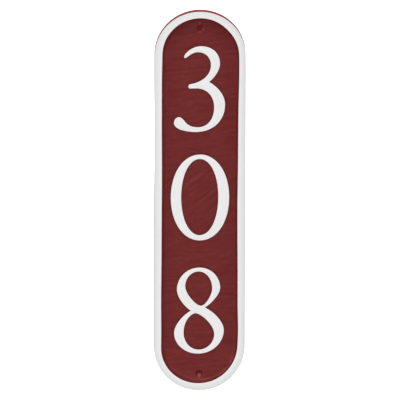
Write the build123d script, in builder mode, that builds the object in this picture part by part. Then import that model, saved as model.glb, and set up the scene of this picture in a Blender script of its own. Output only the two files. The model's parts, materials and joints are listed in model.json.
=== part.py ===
from build123d import *
from math import radians, tan
import os

# House number plaque: one metal casting with a raised rim, raised numerals and two screw holes.
# Millimetres and degrees. +Z is up, the front faces -Y, and the flat back lies in the plane Y = 0,
# with the origin midway between the two screw holes.

# Outline and thicknesses
plaque_height = 457.2
plaque_width = 107.0
plate_thickness = 6.3  # from the flat back to the sunken field
rim_relief = 3.2  # from the field to the crest of the rim
numeral_relief = 2.4  # from the field to the faces of the numerals

# Rim, from its outer wall inwards
outer_wall_draft = 1.0
rim_edge_radius = 1.2
rim_width = 8.6  # from the outer wall to the inner edge of the rim's top
rim_level_width = 1.2  # inner part of the rim's top, before it falls away outwards
crown_drop = 1.5  # how far the rim's top falls to its outer edge
rim_inner_radius = 0.5
inner_wall_slope = 35.0  # from upright
cove_radius = 5.0  # where the inner wall runs out into the field

# Screw holes on the centre line
hole_inset = 20.6  # from each end of the plaque to the centre of its hole
bore_diameter = 4.8
countersink_diameter = 9.2
countersink_angle = 82.0

# Numerals, one above the other
numeral_height = 104.0
top_margin = 32.7  # from the rim's inner edge to the top numeral
bottom_margin = 36.6  # from the bottom numeral to the rim's inner edge
zero_height = 5.1  # centre of the middle numeral, above the origin
three_shift = -0.7  # to the right of the centre line
zero_shift = 0.2
eight_shift = -0.6

# Each outline below is drawn about its numeral's own centre, for a numeral of this height. Points on
# the curve and corners take turns: a curve leaves its point towards the next corner and reaches the
# next point from that corner, so a corner is where the tangents at its two points cross.
drawn_height = 104.0

three_outline = [
    # tip and top bowl, outside
    (-18.2, 38.6), (-18.2, 40.2), (-16.3, 42.7), (-9.0, 51.5), (1.5, 51.5), (23.9, 51.5),
    (23.9, 30.5), (23.9, 19.0),
    # bottom bowl, outside
    (11.5, 8.6), (30.0, -2.2), (30.0, -18.0), (30.0, -51.5), (-4.5, -51.5), (-12.5, -51.5),
    # ball at the foot
    (-20.0, -49.3), (-29.9, -46.6), (-29.9, -40.8), (-29.9, -33.4), (-23.5, -33.4), (-20.5, -33.4),
    # bottom bowl, inside
    (-16.5, -39.3), (-12.0, -45.6), (-2.0, -45.6), (17.0, -45.6), (17.0, -22.2), (17.0, 0.8),
    # blunt end of the middle arm
    (-3.8, 0.8), (-7.5, 0.6), (-10.8, 0.6), (-13.1, 0.6), (-13.1, 3.3), (-13.1, 5.7),
    # top bowl, inside, and back to the tip
    (-10.6, 6.1), (13.1, 10.1), (13.1, 28.5), (13.1, 44.1), (-2.3, 44.1), (-7.0, 44.1),
    (-12.0, 40.2), (-13.5, 39.0), (-15.0, 37.9), (-18.2, 35.7),
]
three_fullness = 0.6

zero_outer_size = (68.6, 103.6)
zero_counter_size = (43.2, 91.4)
zero_counter_shift = (-0.3, 0.5)  # the counter sits a little up and to the left
zero_fullness = 0.575

eight_outline = [
    # top bowl, right side
    (0.5, 52.2), (24.9, 52.2), (24.9, 27.5), (24.9, 15.8),
    # bottom bowl, from the right of the waist round to its left
    (7.3, 3.8), (29.3, -7.6), (29.3, -23.5), (29.3, -52.2), (-1.0, -52.2), (-29.3, -52.2),
    (-29.3, -27.0), (-29.3, -11.5),
    # top bowl, left side
    (-9.8, 0.0), (-26.1, 11.0), (-26.1, 25.5), (-26.1, 52.2),
]
eight_upper_counter = [
    (-0.5, 47.2), (15.3, 47.2), (15.3, 27.0), (15.3, 16.5), (6.2, 7.7), (4.4, 6.1),
    (2.3, 6.1), (-0.2, 6.1), (-2.5, 7.9), (-16.1, 18.3), (-16.1, 29.5), (-16.1, 47.2),
]
eight_lower_counter = [
    (-4.2, -3.2), (-1.5, -3.2), (1.8, -5.6), (17.8, -15.5), (17.8, -28.5), (17.8, -47.1),
    (-0.5, -47.1), (-17.9, -47.1), (-17.9, -26.5), (-17.9, -5.7),
]
eight_fullness = 0.55

# Derived sizes
half_width = plaque_width / 2
half_height = plaque_height / 2
half_straight = half_height - half_width
crest_depth = plate_thickness + rim_relief
shoulder_depth = crest_depth - crown_drop
hole_spacing = plaque_height - 2 * hole_inset
field_end = half_height - rim_width
three_height = field_end - top_margin - numeral_height / 2
eight_height = bottom_margin + numeral_height / 2 - field_end


def half_section():
    """Half of the plaque's cross section, from the centre line to the outer wall."""
    back_edge = (half_width, 0)
    shoulder = (half_width - shoulder_depth * tan(radians(outer_wall_draft)), -shoulder_depth)
    crown_start = (half_width - rim_width + rim_level_width, -crest_depth)
    inner_edge = (half_width - rim_width, -crest_depth)
    wall_foot = (inner_edge[0] - rim_relief * tan(radians(inner_wall_slope)), -plate_thickness)
    with BuildSketch() as section:
        with BuildLine():
            Polyline((0, -plate_thickness), (0, 0), back_edge, shoulder)
            TangentArc(crown_start, shoulder, tangent=(1, 0))
            Polyline(crown_start, inner_edge, wall_foot, (0, -plate_thickness))
        make_face()
        fillet(section.vertices().sort_by_distance(shoulder)[0], rim_edge_radius)
        fillet(section.vertices().sort_by_distance(inner_edge)[0], rim_inner_radius)
        fillet(section.vertices().sort_by_distance(wall_foot)[0], cove_radius)
    return section.sketch


def oval(size, centre=(0, 0)):
    """Points and corners of an upright oval of this width and height, about this centre."""
    x, z = size[0] / 2, size[1] / 2
    drawn = [(-x, 0), (-x, z), (0, z), (x, z), (x, 0), (x, -z), (0, -z), (-x, -z)]
    return [(centre[0] + across, centre[1] + up) for across, up in drawn]


def outline_face(points, fullness):
    """Face inside a closed outline. Fullness is how far each curve is drawn into its corner."""
    scale = numeral_height / drawn_height
    path = [Vector(x, z) * scale for x, z in points]
    with BuildSketch() as face:
        with BuildLine():
            for i in range(0, len(path), 2):
                start, corner, end = path[i], path[i + 1], path[(i + 2) % len(path)]
                leaving = start + (corner - start) * fullness
                arriving = end + (corner - end) * fullness
                Bezier(start, leaving, arriving, end)
        make_face()
    return face.sketch


def numeral(outline, counters, fullness):
    """Flat shape of one numeral, with its closed bowls cut out."""
    with BuildSketch() as shape:
        add(outline_face(outline, fullness))
        for counter in counters:
            add(outline_face(counter, fullness), mode=Mode.SUBTRACT)
    return shape.sketch


with BuildPart() as plaque:
    # Straight middle
    with BuildSketch(Plane.XY.offset(-half_straight)):
        add(half_section())
        mirror(about=Plane.YZ)
    extrude(amount=2 * half_straight)

    # Round ends
    for end in (1, -1):
        with BuildSketch(Plane.XY.offset(end * half_straight)):
            add(half_section())
        revolve(axis=Axis((0, 0, end * half_straight), (0, -end, 0)), revolution_arc=180)

    # Raised numerals
    with BuildSketch(Plane.XZ.offset(plate_thickness)):
        with Locations((three_shift, three_height)):
            add(numeral(three_outline, [], three_fullness))
        with Locations((zero_shift, zero_height)):
            zero_counter = oval(zero_counter_size, zero_counter_shift)
            add(numeral(oval(zero_outer_size), [zero_counter], zero_fullness))
        with Locations((eight_shift, eight_height)):
            add(numeral(eight_outline, [eight_upper_counter, eight_lower_counter], eight_fullness))
    extrude(amount=numeral_relief)

    # Countersunk screw holes
    with Locations(Plane.XZ.offset(plate_thickness)):
        with GridLocations(0, hole_spacing, 1, 2):
            CounterSinkHole(
                radius=bore_diameter / 2,
                counter_sink_radius=countersink_diameter / 2,
                counter_sink_angle=countersink_angle,
            )

plaque.part.label = "plaque"
os.makedirs("parts", exist_ok=True)
export_step(plaque.part, "parts/plaque.step")
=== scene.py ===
import json
from math import asin, cos, exp, pi, radians, sin, tan

import bmesh
import bpy
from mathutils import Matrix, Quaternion, Vector, noise


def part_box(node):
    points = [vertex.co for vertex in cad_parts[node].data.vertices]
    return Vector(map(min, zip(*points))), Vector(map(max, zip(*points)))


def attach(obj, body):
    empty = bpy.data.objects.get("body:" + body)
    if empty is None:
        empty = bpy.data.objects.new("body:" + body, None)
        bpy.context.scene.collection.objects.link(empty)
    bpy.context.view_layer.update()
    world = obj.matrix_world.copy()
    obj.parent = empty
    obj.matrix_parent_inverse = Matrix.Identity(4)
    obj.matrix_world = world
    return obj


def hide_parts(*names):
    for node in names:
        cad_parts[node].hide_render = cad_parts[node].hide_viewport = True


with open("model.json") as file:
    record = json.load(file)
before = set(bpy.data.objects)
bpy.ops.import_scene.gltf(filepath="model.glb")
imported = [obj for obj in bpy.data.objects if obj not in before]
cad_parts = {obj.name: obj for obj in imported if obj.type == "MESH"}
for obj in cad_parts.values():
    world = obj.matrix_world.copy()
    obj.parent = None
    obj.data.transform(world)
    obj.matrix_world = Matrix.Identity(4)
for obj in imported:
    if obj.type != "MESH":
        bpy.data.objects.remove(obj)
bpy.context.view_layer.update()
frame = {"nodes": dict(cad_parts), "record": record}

# +Z is up the plaque, the front faces -Y and the flat back lies at Y = 0, all in metres.
# A point of a section is (distance from the middle line, depth), with depths below zero.

merge = 0.000002  # points closer than this are one point
startSize = 0.001  # of the small plane that a line of edges starts from
squareOn = 0.9999  # a face whose normal points this nearly out of the front is flat
levelDigits = 5  # depths that agree to this many decimals are one level
millimetres = 1000  # in a metre


def deselectAll():
    if bpy.context.object and bpy.context.object.mode != "OBJECT":
        bpy.ops.object.mode_set(mode="OBJECT")
    bpy.ops.object.select_all(action="DESELECT")


def editPiece(piece):
    deselectAll()
    piece.select_set(True)
    bpy.context.view_layer.objects.active = piece
    bpy.ops.object.mode_set(mode="EDIT")


def pick(piece, kind, wanted):
    # in edit mode, selects the edges or faces that pass a test and nothing else
    bpy.ops.mesh.select_mode(type=kind)
    bpy.ops.mesh.select_all(action="DESELECT")
    shape = bmesh.from_edit_mesh(piece.data)
    for item in shape.edges if kind == "EDGE" else shape.faces:
        if wanted(item):
            item.select_set(True)
    bmesh.update_edit_mesh(piece.data)


def atDepth(item, depth):
    return all(abs(corner.co.y - depth) < merge for corner in item.verts)


def clamp(value):
    return min(max(value, 0), 1)


def flatLevels(crest):
    # how much flat area faces out of the front at each depth: the field first, then the numerals
    area = {}
    for face in frame["nodes"]["plaque"].data.polygons:
        if face.normal.y < -squareOn:
            level = round(face.center.y, levelDigits)
            area[level] = area.get(level, 0) + face.area
    area.pop(round(crest, levelDigits), None)
    return sorted(area, key=area.get, reverse=True)[:2]


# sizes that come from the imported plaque
low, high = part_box("plaque")
size = {"halfWidth": high.x, "halfHeight": high.z, "crest": low.y, "back": high.y}
size["field"], size["numeral"] = flatLevels(size["crest"])
size["halfStraight"] = size["halfHeight"] - size["halfWidth"]
boltDims = next(m["dims"] for m in frame["record"]["mounts"] if m["kind"] == "bolt_pattern")
size["holeHeight"] = boltDims["spacing_y_mm"] / millimetres / 2
size["boreRadius"] = boltDims["hole_r_mm"] / millimetres


def fromMiddle(x, z):
    # the way out from the straight line that runs up the middle of the plaque
    beyond = abs(z) - size["halfStraight"]
    if beyond < 0:
        return Vector((x, 0, 0))
    return Vector((x, 0, beyond if z > 0 else -beyond))


# the rim and the back

casting = {
    "name": "plaque_casting",
    "backInset": 0.003,  # flat ring inside the back edge
    # roundings, as radius and steps
    "backEdge": (0.0003, 3),
    "rimEdge": (0.0012, 6),
    "rimInnerEdge": (0.0005, 4),
    "outerWallDraft": 1.0,
    "rimWidth": 0.0086,
    "rimLevelWidth": 0.0012,
    "crownDrop": 0.0015,
    "crownSteps": 8,
    "innerWallSlope": 35.0,
    "coveRadius": 0.005,
    "coveSteps": 8,
    "fieldInset": 0.001,  # flat ring past the foot of the cove
    "endSteps": 90,
    "sideSteps": 70,
    "sortFrom": (0.31, 0.17, 1.9),  # a point at a different distance from every edge and face
    "flatAngle": 0.05,  # faces that turn less than this from each other become one
    "smoothAngle": 40.0,
    # places where handwork left the rim's inner or outer edge out of line, and by how much outwards
    "pulls": [
        {"at": (0.0, 0.22), "reach": 0.032, "inner": 0.00035, "outer": 0.0},
        {"at": (0.032, 0.207), "reach": 0.012, "inner": -0.0005, "outer": 0.0},
        {"at": (0.045, 0.16), "reach": 0.04, "inner": 0.001, "outer": 0.0},
        {"at": (0.045, -0.015), "reach": 0.05, "inner": -0.0006, "outer": 0.0},
        {"at": (0.045, -0.155), "reach": 0.02, "inner": 0.0006, "outer": 0.0},
        {"at": (0.036, -0.203), "reach": 0.025, "inner": -0.0011, "outer": -0.0004},
        {"at": (0.005, -0.22), "reach": 0.022, "inner": -0.0005, "outer": 0.0},
        {"at": (-0.038, -0.195), "reach": 0.025, "inner": 0.0006, "outer": 0.0},
        {"at": (-0.045, -0.12), "reach": 0.035, "inner": 0.0004, "outer": 0.0},
        {"at": (-0.045, 0.03), "reach": 0.04, "inner": -0.0003, "outer": 0.0},
        {"at": (-0.045, 0.175), "reach": 0.018, "inner": -0.0005, "outer": -0.0001},
        {"at": (-0.0535, 0.07), "reach": 0.055, "inner": 0.0, "outer": -0.00085},
        {"at": (0.0535, 0.175), "reach": 0.015, "inner": 0.0, "outer": -0.0002},
    ],
}


def roundedCorner(before, corner, after, radius, steps):
    # points of an arc that rounds a corner of a section
    back, ahead = (before - corner).normalized(), (after - corner).normalized()
    halfAngle = back.angle(ahead) / 2
    centre = corner + (back + ahead).normalized() * radius / sin(halfAngle)
    first = (corner + back * radius / tan(halfAngle) - centre).normalized()
    last = (corner + ahead * radius / tan(halfAngle) - centre).normalized()
    return [centre + radius * first.slerp(last, i / steps) for i in range(steps + 1)]


def rimSection():
    # from the back, round the outer wall and over the rim, to the field
    wall = size["halfWidth"]
    shoulderDepth = size["crest"] + casting["crownDrop"]
    draft = tan(radians(casting["outerWallDraft"]))
    shoulder = Vector((wall + shoulderDepth * draft, shoulderDepth))
    crownStart = Vector((wall - casting["rimWidth"] + casting["rimLevelWidth"], size["crest"]))
    innerEdge = Vector((wall - casting["rimWidth"], size["crest"]))
    wallRun = (size["field"] - size["crest"]) * tan(radians(casting["innerWallSlope"]))
    wallFoot = Vector((innerEdge.x - wallRun, size["field"]))

    crownWidth = shoulder.x - crownStart.x
    crownRadius = (crownWidth**2 + casting["crownDrop"] ** 2) / (2 * casting["crownDrop"])
    crownTurn = asin(crownWidth / crownRadius)
    crown = []
    for i in range(casting["crownSteps"]):
        turn = crownTurn * i / casting["crownSteps"]
        crown.append(crownStart + crownRadius * Vector((sin(turn), 1 - cos(turn))))
    crown.reverse()

    backRing = Vector((wall - casting["backInset"], size["back"]))
    backEdge = Vector((wall, size["back"]))
    points = [backRing]
    points += roundedCorner(backRing, backEdge, shoulder, *casting["backEdge"])
    points += roundedCorner(backEdge, shoulder, crown[0], *casting["rimEdge"])
    points += crown
    points += roundedCorner(crownStart, innerEdge, wallFoot, *casting["rimInnerEdge"])
    fieldRing = wallFoot - Vector((casting["coveRadius"], 0))
    cove = (casting["coveRadius"], casting["coveSteps"])
    points += roundedCorner(innerEdge, wallFoot, fieldRing, *cove)
    points.append(Vector((points[-1].x - casting["fieldInset"], size["field"])))
    return points


def drawLine(name, points):
    # a line of edges: a small plane, merged to a point, is extruded from place to place
    deselectAll()
    bpy.ops.mesh.primitive_plane_add(size=startSize, location=(0, 0, 0))
    line = bpy.context.object
    line.name = name
    bpy.ops.object.mode_set(mode="EDIT")
    bpy.ops.mesh.merge(type="CENTER")
    bpy.ops.transform.translate(value=points[0])
    for here, there in zip(points, points[1:]):
        bpy.ops.mesh.extrude_region_move(TRANSFORM_OT_translate={"value": there - here})
    return line


def makeRim():
    # the section goes over the top, down the left side, round the bottom and up the right side
    top = size["halfStraight"]
    points = [Vector((across, depth, top)) for across, depth in rimSection()]
    rim = drawLine(casting["name"], points)
    step = 2 * top / casting["sideSteps"]
    bpy.ops.mesh.select_all(action="SELECT")
    for centre, down in ((top, -step), (-top, step)):
        bpy.ops.mesh.spin(
            steps=casting["endSteps"], angle=pi, center=(0, 0, centre), axis=(0, 1, 0)
        )
        for _ in range(casting["sideSteps"]):
            bpy.ops.mesh.extrude_region_move(TRANSFORM_OT_translate={"value": (0, 0, down)})
    bpy.ops.mesh.select_all(action="SELECT")
    bpy.ops.mesh.remove_doubles(threshold=merge)
    bpy.ops.object.mode_set(mode="OBJECT")
    return rim


def pullRim(rim):
    # draws the rim's edges a little in or out of line
    levelEnd = size["halfWidth"] - casting["rimWidth"] + casting["rimLevelWidth"]
    for point in rim.data.vertices:
        x, y, z = point.co
        outwards = fromMiddle(x, z)
        outer = clamp((outwards.length - levelEnd) / (size["halfWidth"] - levelEnd))
        if y > size["field"] + merge:
            outer = 1
        shift = 0
        for pull in casting["pulls"]:
            away = (Vector((x, z)) - Vector(pull["at"])).length / pull["reach"]
            shift += exp(-(away**2)) * (pull["outer"] * outer + pull["inner"] * (1 - outer))
        point.co += outwards.normalized() * shift


# the screw holes

holes = {
    "mouthRadius": 0.0046,
    "sinkAngle": 82.0,
    "mouthRounding": 0.0006,
    "mouthSteps": 2,
    "sides": 48,
}


def makeHole(height):
    # a countersink from the field, and a bore from its foot to the back
    deselectAll()
    bpy.ops.mesh.primitive_circle_add(
        vertices=holes["sides"],
        radius=holes["mouthRadius"],
        location=(0, size["field"], height),
        rotation=(pi / 2, 0, 0),
    )
    hole = bpy.context.object
    bpy.ops.object.transform_apply(location=True, rotation=True, scale=True)
    narrowing = size["boreRadius"] / holes["mouthRadius"]
    sink = (holes["mouthRadius"] - size["boreRadius"]) / tan(radians(holes["sinkAngle"] / 2))
    bore = size["back"] - size["field"] - sink
    bpy.ops.object.mode_set(mode="EDIT")
    bpy.ops.mesh.select_all(action="SELECT")
    bpy.ops.mesh.extrude_region_move(TRANSFORM_OT_translate={"value": (0, sink, 0)})
    bpy.ops.transform.resize(
        value=(narrowing, 1, narrowing), center_override=(0, size["field"] + sink, height)
    )
    bpy.ops.mesh.extrude_region_move(TRANSFORM_OT_translate={"value": (0, bore, 0)})
    bpy.ops.object.mode_set(mode="OBJECT")
    return hole


# the numerals

numerals = {
    "cornerTurn": 35.0,  # a sharper turn than this is a corner, and the rest is a smooth curve
    "resolution": 4,
    "edgeRadius": 0.00035,
    "edgeSteps": 3,
    "rootRadius": 0.0005,
    "rootSteps": 3,
}


def numeralOutlines():
    # the edges of the numerals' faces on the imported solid, as smooth closed curves
    deselectAll()
    node = frame["nodes"]["plaque"]
    node.select_set(True)
    bpy.context.view_layer.objects.active = node
    bpy.ops.object.duplicate()
    faces = bpy.context.object
    editPiece(faces)
    bpy.ops.mesh.select_all(action="SELECT")
    bpy.ops.mesh.remove_doubles(threshold=merge)
    pick(faces, "FACE", lambda face: not atDepth(face, size["numeral"]))
    bpy.ops.mesh.delete(type="FACE")
    pick(faces, "EDGE", lambda edge: not edge.is_boundary)
    bpy.ops.mesh.delete(type="EDGE_FACE")
    bpy.ops.object.mode_set(mode="OBJECT")
    bpy.ops.object.convert(target="CURVE")
    outlines = bpy.context.object
    bpy.ops.object.mode_set(mode="EDIT")
    bpy.ops.curve.select_all(action="SELECT")
    bpy.ops.curve.spline_type_set(type="BEZIER")
    bpy.ops.curve.handle_type_set(type="AUTOMATIC")
    bpy.ops.object.mode_set(mode="OBJECT")
    outlines.data.resolution_u = numerals["resolution"]
    for spline in outlines.data.splines:
        points = spline.bezier_points
        for i, point in enumerate(points):
            arriving = point.co - points[i - 1].co
            leaving = points[(i + 1) % len(points)].co - point.co
            if arriving.angle(leaving) > radians(numerals["cornerTurn"]):
                point.handle_left_type = point.handle_right_type = "VECTOR"
    bpy.ops.object.convert(target="MESH")
    return bpy.context.object


def makeNumerals():
    # flat faces on the outlines, with walls down to the field
    wallHeight = size["field"] - size["numeral"]
    shapes = numeralOutlines()
    editPiece(shapes)
    bpy.ops.mesh.select_all(action="SELECT")
    bpy.ops.mesh.fill(use_beauty=False)
    bpy.ops.mesh.select_all(action="SELECT")
    bpy.ops.mesh.region_to_loop()
    bpy.ops.mesh.extrude_region_move(TRANSFORM_OT_translate={"value": (0, wallHeight, 0)})
    bpy.ops.object.mode_set(mode="OBJECT")
    return shapes


# the whole casting


def fillLevel(piece, depth):
    # closes the casting across the open edges at this depth
    pick(piece, "EDGE", lambda edge: edge.is_boundary and atDepth(edge, depth))
    bpy.ops.mesh.fill(use_beauty=False)


def putInOrder(piece):
    # filling leaves new edges and faces in a different order each time, and dissolving goes by it
    bpy.context.scene.cursor.location = casting["sortFrom"]
    bpy.ops.mesh.select_all(action="SELECT")
    bpy.ops.mesh.sort_elements(type="CURSOR_DISTANCE", elements={"EDGE", "FACE"})
    bpy.context.scene.cursor.location = (0, 0, 0)
    editPiece(piece)


def isFlat(face):
    return any(atDepth(face, size[level]) for level in ("field", "numeral", "back"))


def roundEdges(piece, wanted, radius, steps):
    pick(piece, "EDGE", wanted)
    bpy.ops.mesh.bevel(offset=radius, segments=steps, affect="EDGES", clamp_overlap=False)


def leavesFlat(edge, depth):
    # one side of the edge lies flat at this depth and the other doesn't
    return sum(atDepth(face, depth) for face in edge.link_faces) == 1


def nearHole(edge):
    point = edge.verts[0].co
    run = Vector((point.x, abs(point.z) - size["holeHeight"])).length
    return run < holes["mouthRadius"] + merge


def nearRim(edge):
    point = edge.verts[0].co
    return fromMiddle(point.x, point.z).length > size["halfWidth"] - 2 * casting["rimWidth"]


def onNumeralEdge(edge):
    return leavesFlat(edge, size["numeral"])


def onNumeralRoot(edge):
    return leavesFlat(edge, size["field"]) and not nearRim(edge) and not nearHole(edge)


def onHoleMouth(edge):
    return leavesFlat(edge, size["field"]) and nearHole(edge)


def makeCasting():
    plaque = makeRim()
    pullRim(plaque)
    parts = [makeNumerals(), makeHole(size["holeHeight"]), makeHole(-size["holeHeight"])]
    deselectAll()
    for part in [*parts, plaque]:
        part.select_set(True)
    bpy.context.view_layer.objects.active = plaque
    bpy.ops.object.join()
    editPiece(plaque)
    fillLevel(plaque, size["field"])
    fillLevel(plaque, size["back"])
    bpy.ops.mesh.select_all(action="SELECT")
    bpy.ops.mesh.remove_doubles(threshold=merge)
    bpy.ops.mesh.normals_make_consistent(inside=False)
    putInOrder(plaque)
    pick(plaque, "FACE", isFlat)
    bpy.ops.mesh.dissolve_limited(angle_limit=radians(casting["flatAngle"]))
    roundEdges(plaque, onNumeralEdge, numerals["edgeRadius"], numerals["edgeSteps"])
    roundEdges(plaque, onNumeralRoot, numerals["rootRadius"], numerals["rootSteps"])
    roundEdges(plaque, onHoleMouth, holes["mouthRounding"], holes["mouthSteps"])
    bpy.ops.object.mode_set(mode="OBJECT")
    return plaque


# the slate-like surface of the field

relief = {
    "grid": 0.0011,
    "wallReach": 0.0012,  # how far up the walls the relief carries
    "holeReach": 0.0006,  # and down into the holes
    "ridgeLength": 0.03,
    "ridgeWidth": 0.006,
    "ridgeHeight": 0.00028,
    "ridgeNoise": (1.0, 2.1, 3, 1.0, 1.6),  # fade, scale, count, offset and gain of its layers
    "ridgeMiddle": 1,  # taken off, so that the ridges rise and dip about the field's own level
    "slantAngle": 38.0,  # of the ridges round the middle numeral
    "levelAngle": 6.0,  # of the ridges elsewhere
    "swirlHeight": 0.005,  # the slanting ridges are strongest here
    "swirlReach": 0.05,  # and give way to the level ones over this height
    "swellWidth": 0.02,
    "swellHeight": 0.0004,
    "swellSeed": 3,
    "grainWidth": 0.0032,
    "grainHeight": 0.00012,
    "grainSeed": 7,
    # single marks that stand out, each along a line
    "strokes": [
        {"start": (-0.0077, -0.0047), "end": (0.0192, 0.0182), "width": 0.0011, "height": -0.0005},
        {"start": (-0.0183, 0.0194), "end": (0.0063, 0.0339), "width": 0.0018, "height": 0.00022},
        {"start": (-0.0382, -0.0542), "end": (-0.0241, -0.047), "width": 0.0012, "height": 0.00045},
        {"start": (0.018, -0.0699), "end": (0.038, -0.0627), "width": 0.0012, "height": 0.0002},
        {"start": (-0.0195, 0.0653), "end": (0.0063, 0.0569), "width": 0.0012, "height": -0.0004},
        {"start": (0.0052, 0.2115), "end": (0.0046, 0.2035), "width": 0.001, "height": 0.0004},
        {"start": (-0.0028, 0.214), "end": (0.0016, 0.2134), "width": 0.0009, "height": 0.0004},
    ],
    "footRun": 0.0402,  # where the rim's wall runs out into the field
    "lipHeight": 0.0009,  # a wavy lip along the foot of the bottom rim, which the paint lightens as a painted highlight
    "lipWidth": 0.0006,
    "lipSpread": 1.6,  # how far up the sides it carries
    "lipFade": 0.9,  # it is weaker towards the left
    "lipDrift": 0.0012,  # and closer to the rim on the right
    "lipBand": 0.003,  # where the grid is twice as fine
    "lipSway": 0.0006,
    "lipSwayLength": 0.012,
    "lipSeed": 5,
    "sagDepth": 0.0008,  # the field dips along the rim, most of all below the top, and the paint lays painted shade in the dip
    "sagSides": 0.3,
    "sagReach": 0.013,
}


def cutGrid(piece):
    # cuts the field and the foot of every wall round it into small squares
    editPiece(piece)
    lowest = size["field"] - relief["wallReach"]
    inside = size["halfWidth"] - casting["rimWidth"]

    def onField(face):
        middle = face.calc_center_median()
        level = all(lowest < v.co.y < size["field"] + merge for v in face.verts)
        return level and fromMiddle(middle.x, middle.z).length < inside

    pick(piece, "FACE", onField)
    bpy.ops.mesh.hide(unselected=True)
    for across, reach in (((1, 0, 0), size["halfWidth"]), ((0, 0, 1), size["halfHeight"])):
        count = int((reach - casting["rimWidth"]) / relief["grid"])
        for i in range(-count, count + 1):
            place = Vector(across) * (i + 0.5) * relief["grid"]
            bpy.ops.mesh.select_all(action="SELECT")
            bpy.ops.mesh.bisect(plane_co=place, plane_no=across)
    bpy.ops.mesh.reveal(select=False)

    def onLip(face):
        middle = face.calc_center_median()
        outwards = fromMiddle(middle.x, middle.z)
        beside = abs(outwards.length - relief["footRun"]) < relief["lipBand"]
        return onField(face) and beside and outwards.z < 0

    pick(piece, "FACE", onLip)
    bpy.ops.mesh.subdivide()
    bpy.ops.object.mode_set(mode="OBJECT")


def strokeShape(x, z, stroke):
    # 1 on the line of a stroke, fading to 0 across it and towards its ends
    start, end = Vector(stroke["start"]), Vector(stroke["end"])
    run = end - start
    along = (Vector((x, z)) - start).dot(run) / run.length_squared
    across = abs((Vector((x, z)) - start).cross(run)) / run.length
    fade = max(0, 1 - (2 * along - 1) ** 4) if 0 < along < 1 else 0
    return fade * exp(-((across / stroke["width"]) ** 2))


def rimShape(x, z):
    # the lip along the bottom rim and the sag below the top one
    outwards = fromMiddle(x, z)
    run = outwards.length
    if run < relief["footRun"] / 2:
        return 0
    rise = outwards.z / run  # 1 at the top end, -1 at the bottom
    place = Vector((x, z, relief["lipSeed"])) / relief["lipSwayLength"]
    sway = relief["lipSway"] * noise.noise(place)
    side = outwards.x / run  # 1 on the right, -1 on the left
    lipRun = relief["footRun"] + relief["lipDrift"] * clamp(side) + sway
    across = (run - lipRun) / relief["lipWidth"]
    strength = clamp(-relief["lipSpread"] * rise) * clamp(1 + relief["lipFade"] * side)
    lip = strength * relief["lipHeight"] * exp(-(across**2))
    below = (relief["footRun"] - run) / relief["sagReach"]
    sag = clamp(relief["sagSides"] + rise) * relief["sagDepth"] * exp(-(below**2))
    return lip - sag


def slate(x, z):
    # height of the field's relief at a point, from long ridges in two directions and fine grain
    tilt = exp(-(((z - relief["swirlHeight"]) / relief["swirlReach"]) ** 2))
    height = rimShape(x, z)
    for angle, share in ((relief["slantAngle"], tilt), (relief["levelAngle"], 1 - tilt)):
        turn = radians(angle)
        along = (x * cos(turn) + z * sin(turn)) / relief["ridgeLength"]
        across = (z * cos(turn) - x * sin(turn)) / relief["ridgeWidth"]
        place = Vector((along, across, angle))
        ridge = noise.ridged_multi_fractal(place, *relief["ridgeNoise"]) - relief["ridgeMiddle"]
        height += share * relief["ridgeHeight"] * ridge
    place = Vector((x, z, relief["grainSeed"])) / relief["grainWidth"]
    height += relief["grainHeight"] * noise.noise(place)
    for stroke in relief["strokes"]:
        height += stroke["height"] * strokeShape(x, z, stroke)
    return height


def carveField(piece):
    # moves the field and the foot of its walls in or out, and keeps the height for the paint, which
    # lays painted shade in the dips and a painted highlight on the ridges
    kept = piece.data.attributes.new("reliefHeight", "FLOAT", "POINT")
    inside = size["halfWidth"] - casting["rimWidth"]
    for point, record in zip(piece.data.vertices, kept.data):
        x, y, z = point.co
        above = size["field"] - y
        share = 1 - (above / relief["wallReach"] if above > 0 else -above / relief["holeReach"])
        if share > 0 and fromMiddle(x, z).length < inside:
            record.value = slate(x, z)
            place = Vector((x, z, relief["swellSeed"])) / relief["swellWidth"]
            swell = relief["swellHeight"] * noise.noise(place)
            point.co.y -= share * (record.value + swell)


# the two paints

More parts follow.
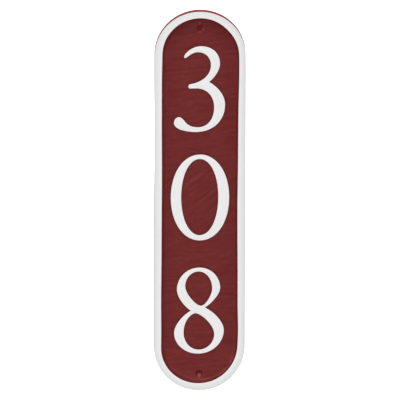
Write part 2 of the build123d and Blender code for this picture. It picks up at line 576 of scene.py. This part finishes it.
paint = {
    "redLight": (0.142, 0.0124, 0.0117),
    "redDark": (0.13, 0.0108, 0.0102),
    "redDipShade": (0.1, 0.004, 0.0038),  # painted shade in the dips of the relief
    "grooveDepth": 0.0007,
    "redRidgeHighlight": (0.27, 0.054, 0.052),  # painted highlight on the ridges
    "ridgeHeight": 0.0009,
    "ridgeCurve": 1.4,  # low ridges show less of it
    "redWallShade": (0.085, 0.003, 0.003),  # painted shade on the rim's inner wall, below its inner edge
    "wallStart": 0.0078,  # height above the back
    "wallFade": 0.0006,
    "redOutside": (0.136, 0.006, 0.0015),  # on the outer wall and the back
    "outsideStart": 0.3,  # share of the rim's width
    "outsideShare": 0.85,  # how much of that colour goes over the other reds
    "backPart": 3,  # the back third of the plate's thickness is painted as the back is
    "highlightFall": 2.0,  # a painted highlight is full up to half of its radius and fades out from there
    # pale spots of painted highlight by the lower hole (-1) and the upper one (1), from its middle
    "holeHighlights": [
        {"hole": -1, "right": 0.0, "up": -0.0026, "radius": 0.0027, "colour": (0.29, 0.069, 0.068)},
        {"hole": 1, "right": 0.0033, "up": -0.0018, "radius": 0.0021, "colour": (0.18, 0.031, 0.03)},
        {"hole": 1, "right": -0.0004, "up": -0.0051, "radius": 0.0015, "colour": (0.18, 0.03, 0.029)},
        {"hole": 1, "right": -0.0005, "up": 0.0046, "radius": 0.0015, "colour": (0.19, 0.034, 0.033)},
    ],
    "whiteLight": (0.84, 0.84, 0.835),
    "whiteDark": (0.81, 0.81, 0.805),
    "whiteEdgeShade": (0.745, 0.74, 0.735),  # painted shade on the white towards the rim's outer edge, where the crown turns away from the light
    "redRoughness": 0.45,
    "whiteRoughness": 0.5,
    "wallRoughness": 0.75,
    "roughSpread": 0.1,
    "specular": 0.14,
    "numeralLine": 0.00862,  # heights above the back where the white paint starts
    "rimInnerLine": 0.0092,
    "rimOuterLine": 0.0075,
    "rimTopRise": 0.0008,  # how much higher it starts over the top end
    "lineReach": 0.0012,
    "softness": 0.00006,
    "sway": 0.00012,
    "bumpHeight": 0.00003,
    # scale, detail and roughness of each noise
    "swayNoise": (60.0, 3.0, 0.5),
    "cloudNoise": (120.0, 4.0, 0.6),
    "patchNoise": (90.0, 3.0, 0.5),
    "bumpNoise": (900.0, 5.0, 0.6),
    "noiseMiddle": 0.5,
}


def mathNode(tree, operation, *values, clamp=False):
    node = tree.nodes.new("ShaderNodeMath")
    node.operation = operation
    node.use_clamp = clamp
    for socket, value in zip(node.inputs, values):
        if isinstance(value, bpy.types.NodeSocket):
            tree.links.new(value, socket)
        else:
            socket.default_value = value
    return node.outputs[0]


def noiseNode(tree, place, scale, detail, roughness):
    node = tree.nodes.new("ShaderNodeTexNoise")
    tree.links.new(place, node.inputs["Vector"])
    node.inputs["Scale"].default_value = scale
    node.inputs["Detail"].default_value = detail
    node.inputs["Roughness"].default_value = roughness
    return node.outputs["Fac"]


def mixNode(tree, factor, first, second):
    node = tree.nodes.new("ShaderNodeMix")
    node.data_type = "RGBA"
    sockets = (node.inputs[0], node.inputs[6], node.inputs[7])  # the factor and the two colours
    for socket, value in zip(sockets, (factor, first, second)):
        if isinstance(value, bpy.types.NodeSocket):
            tree.links.new(value, socket)
        else:
            socket.default_value = value if isinstance(value, float) else (*value, 1)
    return node.outputs[2]


def lengthNode(tree, across, up):
    joined = tree.nodes.new("ShaderNodeCombineXYZ")
    tree.links.new(across, joined.inputs[0])
    tree.links.new(up, joined.inputs[1])
    length = tree.nodes.new("ShaderNodeVectorMath")
    length.operation = "LENGTH"
    tree.links.new(joined.outputs[0], length.inputs[0])
    return length.outputs["Value"]


def runNodes(tree, x, z):
    # distance from the middle line, as a node value
    past = mathNode(tree, "ABSOLUTE", z)
    past = mathNode(tree, "SUBTRACT", past, size["halfStraight"])
    past = mathNode(tree, "MAXIMUM", past, 0.0)
    return lengthNode(tree, x, past)


def paintZones(tree, place, split, run):
    # two masks: the white paint, on the numerals' faces and on the rim from its inner edge
    # outwards, and the upper part of the rim's inner wall, which takes painted shade
    x, y, z = split.outputs
    rimStart = size["halfWidth"] - casting["rimWidth"]
    onRim = mathNode(tree, "GREATER_THAN", run, rimStart - 2 * paint["lineReach"])
    pastEdge = mathNode(tree, "GREATER_THAN", run, rimStart + paint["lineReach"])
    line = mathNode(tree, "MULTIPLY", onRim, paint["rimInnerLine"] - paint["numeralLine"])
    outer = mathNode(tree, "MULTIPLY", pastEdge, paint["rimOuterLine"] - paint["rimInnerLine"])
    line = mathNode(tree, "ADD", line, outer)
    upward = mathNode(tree, "SUBTRACT", z, size["halfStraight"])
    upward = mathNode(tree, "DIVIDE", upward, run, clamp=True)
    rise = mathNode(tree, "MULTIPLY", pastEdge, paint["rimTopRise"])
    line = mathNode(tree, "MULTIPLY_ADD", upward, rise, line)
    line = mathNode(tree, "ADD", line, paint["numeralLine"])
    sway = noiseNode(tree, place, *paint["swayNoise"])
    sway = mathNode(tree, "SUBTRACT", sway, paint["noiseMiddle"])
    sway = mathNode(tree, "MULTIPLY", sway, paint["sway"])
    above = mathNode(tree, "SUBTRACT", sway, y)
    above = mathNode(tree, "SUBTRACT", above, line)
    above = mathNode(tree, "DIVIDE", above, paint["softness"])
    white = mathNode(tree, "ADD", above, 0.5, clamp=True)
    wall = mathNode(tree, "SUBTRACT", -paint["wallStart"], y)
    wall = mathNode(tree, "DIVIDE", wall, paint["wallFade"], clamp=True)
    onWall = mathNode(tree, "SUBTRACT", onRim, pastEdge)
    return white, mathNode(tree, "MULTIPLY", wall, onWall)


def paintMaterial():
    material = bpy.data.materials.new("plaque_paint")
    material.use_nodes = True
    tree = material.node_tree
    shader = tree.nodes["Principled BSDF"]
    place = tree.nodes.new("ShaderNodeTexCoord").outputs["Object"]
    split = tree.nodes.new("ShaderNodeSeparateXYZ")
    tree.links.new(place, split.inputs[0])
    run = runNodes(tree, split.outputs[0], split.outputs[2])
    mask, wall = paintZones(tree, place, split, run)

    cloud = noiseNode(tree, place, *paint["cloudNoise"])
    red = mixNode(tree, cloud, paint["redDark"], paint["redLight"])
    height = tree.nodes.new("ShaderNodeAttribute")
    height.attribute_name = "reliefHeight"
    # painted shade in the dips of the relief
    dipShade = mathNode(tree, "DIVIDE", height.outputs["Fac"], -paint["grooveDepth"], clamp=True)
    red = mixNode(tree, dipShade, red, paint["redDipShade"])
    # painted highlight on the raised ridges, strokes and lip
    ridge = mathNode(tree, "DIVIDE", height.outputs["Fac"], paint["ridgeHeight"], clamp=True)
    ridge = mathNode(tree, "POWER", ridge, paint["ridgeCurve"])
    red = mixNode(tree, ridge, red, paint["redRidgeHighlight"])
    # painted shade on the upper part of the rim's inner wall
    red = mixNode(tree, wall, red, paint["redWallShade"])
    behind = mathNode(tree, "GREATER_THAN", split.outputs[1], size["field"] / paint["backPart"])
    # painted highlights by the screw holes
    for highlight in paint["holeHighlights"]:
        across = mathNode(tree, "SUBTRACT", split.outputs[0], highlight["right"])
        middle = highlight["hole"] * size["holeHeight"] + highlight["up"]
        up = mathNode(tree, "SUBTRACT", split.outputs[2], middle)
        away = mathNode(tree, "DIVIDE", lengthNode(tree, across, up), highlight["radius"])
        share = mathNode(
            tree, "MULTIPLY_ADD", away, -paint["highlightFall"], paint["highlightFall"], clamp=True
        )
        share = mathNode(tree, "SUBTRACT", share, behind, clamp=True)
        red = mixNode(tree, share, red, highlight["colour"])
    overRim = mathNode(tree, "SUBTRACT", run, size["halfWidth"] - casting["rimWidth"])
    rimShare = mathNode(tree, "DIVIDE", overRim, casting["rimWidth"], clamp=True)
    outside = mathNode(tree, "GREATER_THAN", rimShare, paint["outsideStart"])
    outside = mathNode(tree, "MAXIMUM", outside, behind)
    share = mathNode(tree, "MULTIPLY", outside, paint["outsideShare"])
    red = mixNode(tree, share, red, paint["redOutside"])
    white = mixNode(tree, cloud, paint["whiteDark"], paint["whiteLight"])
    # painted shade: the white darkens towards the rim's outer edge
    white = mixNode(tree, rimShare, white, paint["whiteEdgeShade"])
    tree.links.new(mixNode(tree, mask, red, white), shader.inputs["Base Color"])

    # the walls and the back are rougher than the faces
    base = mathNode(tree, "MULTIPLY", outside, paint["wallRoughness"] - paint["redRoughness"])
    base = mathNode(tree, "ADD", base, paint["redRoughness"])
    toWhite = mathNode(tree, "SUBTRACT", paint["whiteRoughness"], base)
    base = mathNode(tree, "MULTIPLY_ADD", mask, toWhite, base)
    patch = noiseNode(tree, place, *paint["patchNoise"])
    patch = mathNode(tree, "SUBTRACT", patch, paint["noiseMiddle"])
    gloss = mathNode(tree, "MULTIPLY_ADD", patch, paint["roughSpread"], base)
    tree.links.new(gloss, shader.inputs["Roughness"])
    shader.inputs["Specular IOR Level"].default_value = paint["specular"]

    bump = tree.nodes.new("ShaderNodeBump")
    bump.inputs["Distance"].default_value = paint["bumpHeight"]
    tree.links.new(noiseNode(tree, place, *paint["bumpNoise"]), bump.inputs["Height"])
    tree.links.new(bump.outputs[0], shader.inputs["Normal"])
    return material


# the studio: a pale floor, soft lamps and a white surround

studio = {
    "ambient": 0.15,  # light from all round, where 1 shows a colour as it is written
    "floorHeight": -12.5,  # so low that a view from underneath still stays above it
    "floorSize": 2000.0,
    "floorSeen": (0.8, 0.8, 0.8),
    "floorUnseen": (0.4, 0.4, 0.4),
    "lampDistance": 2,
    "lamps": {
        "key_lamp": {"azimuth": -8, "elevation": 20, "spread": 40, "share": 0.51},
        "top_lamp": {"azimuth": 5, "elevation": 72, "spread": 25, "share": 0.25},
        "rear_lamp": {"azimuth": 180, "elevation": 66, "spread": 25, "share": 1.4},
    },
}


def seenRay(tree):
    # 1 for what the camera sees, straight or by way of gloss or glass
    path = tree.nodes.new("ShaderNodeLightPath")
    seen = mathNode(tree, "ADD", path.outputs["Is Camera Ray"], path.outputs["Is Glossy Ray"])
    return mathNode(tree, "ADD", seen, path.outputs["Is Transmission Ray"], clamp=True)


def makeWorld():
    world = bpy.data.worlds.new("studio")
    bpy.context.scene.world = world
    world.use_nodes = True
    tree = world.node_tree
    background = tree.nodes["Background"]
    level = mathNode(tree, "MULTIPLY", seenRay(tree), 1 - studio["ambient"])
    level = mathNode(tree, "ADD", level, studio["ambient"])
    background.inputs["Color"].default_value = (1, 1, 1, 1)
    tree.links.new(level, background.inputs["Strength"])


def makeFloor():
    deselectAll()
    place = (0, 0, studio["floorHeight"])
    bpy.ops.mesh.primitive_plane_add(size=studio["floorSize"], location=place)
    floor = bpy.context.object
    floor.name = "studio_floor"
    material = bpy.data.materials.new("pale_floor")
    material.use_nodes = True
    tree = material.node_tree
    tree.nodes.remove(tree.nodes["Principled BSDF"])
    diffuse = tree.nodes.new("ShaderNodeBsdfDiffuse")
    colour = mixNode(tree, seenRay(tree), studio["floorUnseen"], studio["floorSeen"])
    tree.links.new(colour, diffuse.inputs["Color"])
    tree.links.new(diffuse.outputs[0], tree.nodes["Material Output"].inputs["Surface"])
    floor.data.materials.append(material)


def direction(azimuth, elevation):
    # from the plaque towards a lamp or the camera, with azimuth 0 straight out of its front
    turn, rise = radians(azimuth), radians(elevation)
    return Vector((sin(turn) * cos(rise), -cos(turn) * cos(rise), sin(rise)))


def makeLamps():
    for name, lamp in studio["lamps"].items():
        light = bpy.data.lights.new(name, "SUN")
        light.energy = pi * lamp["share"]
        light.angle = radians(lamp["spread"])
        item = bpy.data.objects.new(name, light)
        bpy.context.scene.collection.objects.link(item)
        towards = direction(lamp["azimuth"], lamp["elevation"])
        item.location = towards * studio["lampDistance"]
        item.rotation_euler = towards.to_track_quat("Z", "Y").to_euler()


# painted shade and painted highlight: a disc in each screw hole's bore stands for the wall behind the
# plaque, as it shows through the hole

shades = {
    "depth": 0.0036,  # in front of the plaque's back
    "roughness": 0.9,
    "upper_hole_shade": {
        "height": size["holeHeight"],
        "low": (0.135, 0.013, 0.013),
        "high": (0.115, 0.01, 0.01),
    },
    "lower_hole_shade": {
        "height": -size["holeHeight"],
        "low": (0.39, 0.11, 0.11),
        "high": (0.105, 0.009, 0.009),
    },
}


def shadeMaterial(name, shade):
    # painted light: lighter towards the bottom of the hole, where more of the light from above
    # reaches
    material = bpy.data.materials.new(name)
    material.use_nodes = True
    tree = material.node_tree
    shader = tree.nodes["Principled BSDF"]
    place = tree.nodes.new("ShaderNodeTexCoord").outputs["Object"]
    split = tree.nodes.new("ShaderNodeSeparateXYZ")
    tree.links.new(place, split.inputs[0])
    rise = mathNode(tree, "SUBTRACT", split.outputs[2], shade["height"] - size["boreRadius"])
    rise = mathNode(tree, "DIVIDE", rise, size["boreRadius"], clamp=True)
    tree.links.new(mixNode(tree, rise, shade["low"], shade["high"]), shader.inputs["Base Color"])
    shader.inputs["Roughness"].default_value = shades["roughness"]
    shader.inputs["Specular IOR Level"].default_value = paint["specular"]
    return material


def makeHoleShade(name):
    shade = shades[name]
    deselectAll()
    bpy.ops.mesh.primitive_circle_add(
        vertices=holes["sides"],
        radius=size["boreRadius"],
        fill_type="NGON",
        location=(0, -shades["depth"], shade["height"]),
        rotation=(pi / 2, 0, 0),
    )
    patch = bpy.context.object
    patch.name = name
    bpy.ops.object.transform_apply(location=True, rotation=True, scale=True)
    patch.data.materials.append(shadeMaterial(name, shade))


# the camera stands far off, a little above the plaque

view = {
    "azimuth": -1.5,
    "elevation": 13.5,
    "distance": 12.0,
    "clipEnd": 100.0,
    "sensor": 36.0,
    "frameWidth": 0.4684,  # what the frame takes in at the plaque
    "aimRight": 0.0002,
    "aimUp": 0.0023,
    "roll": 0.16,  # the plaque leans a little to the right
}


def makeCamera():
    towards = direction(view["azimuth"], view["elevation"])
    turn = towards.to_track_quat("Z", "Y") @ Quaternion((0, 0, 1), radians(view["roll"]))
    data = bpy.data.cameras.new("camera")
    data.sensor_width = view["sensor"]
    data.lens = view["sensor"] * view["distance"] / view["frameWidth"]
    data.clip_end = view["clipEnd"]
    camera = bpy.data.objects.new("camera", data)
    bpy.context.scene.collection.objects.link(camera)
    middle = Vector((0, size["crest"], 0)) + turn @ Vector((view["aimRight"], view["aimUp"], 0))
    camera.location = middle + towards * view["distance"]
    camera.rotation_euler = turn.to_euler()
    bpy.context.scene.camera = camera


plaque = makeCasting()
print("casting made", len(plaque.data.polygons))
cutGrid(plaque)
carveField(plaque)
editPiece(plaque)
bpy.ops.mesh.select_all(action="SELECT")
bpy.ops.mesh.remove_doubles(threshold=merge)
bpy.ops.object.mode_set(mode="OBJECT")
bpy.ops.object.shade_smooth_by_angle(angle=radians(casting["smoothAngle"]))
print("field carved", len(plaque.data.polygons))
plaque.data.materials.clear()
plaque.data.materials.append(paintMaterial())
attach(plaque, "root")
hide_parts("plaque")
print("plaque painted")

makeWorld()
makeFloor()
makeLamps()
makeHoleShade("upper_hole_shade")
makeHoleShade("lower_hole_shade")
makeCamera()
bpy.context.scene.view_settings.view_transform = "Standard"
print("studio ready")
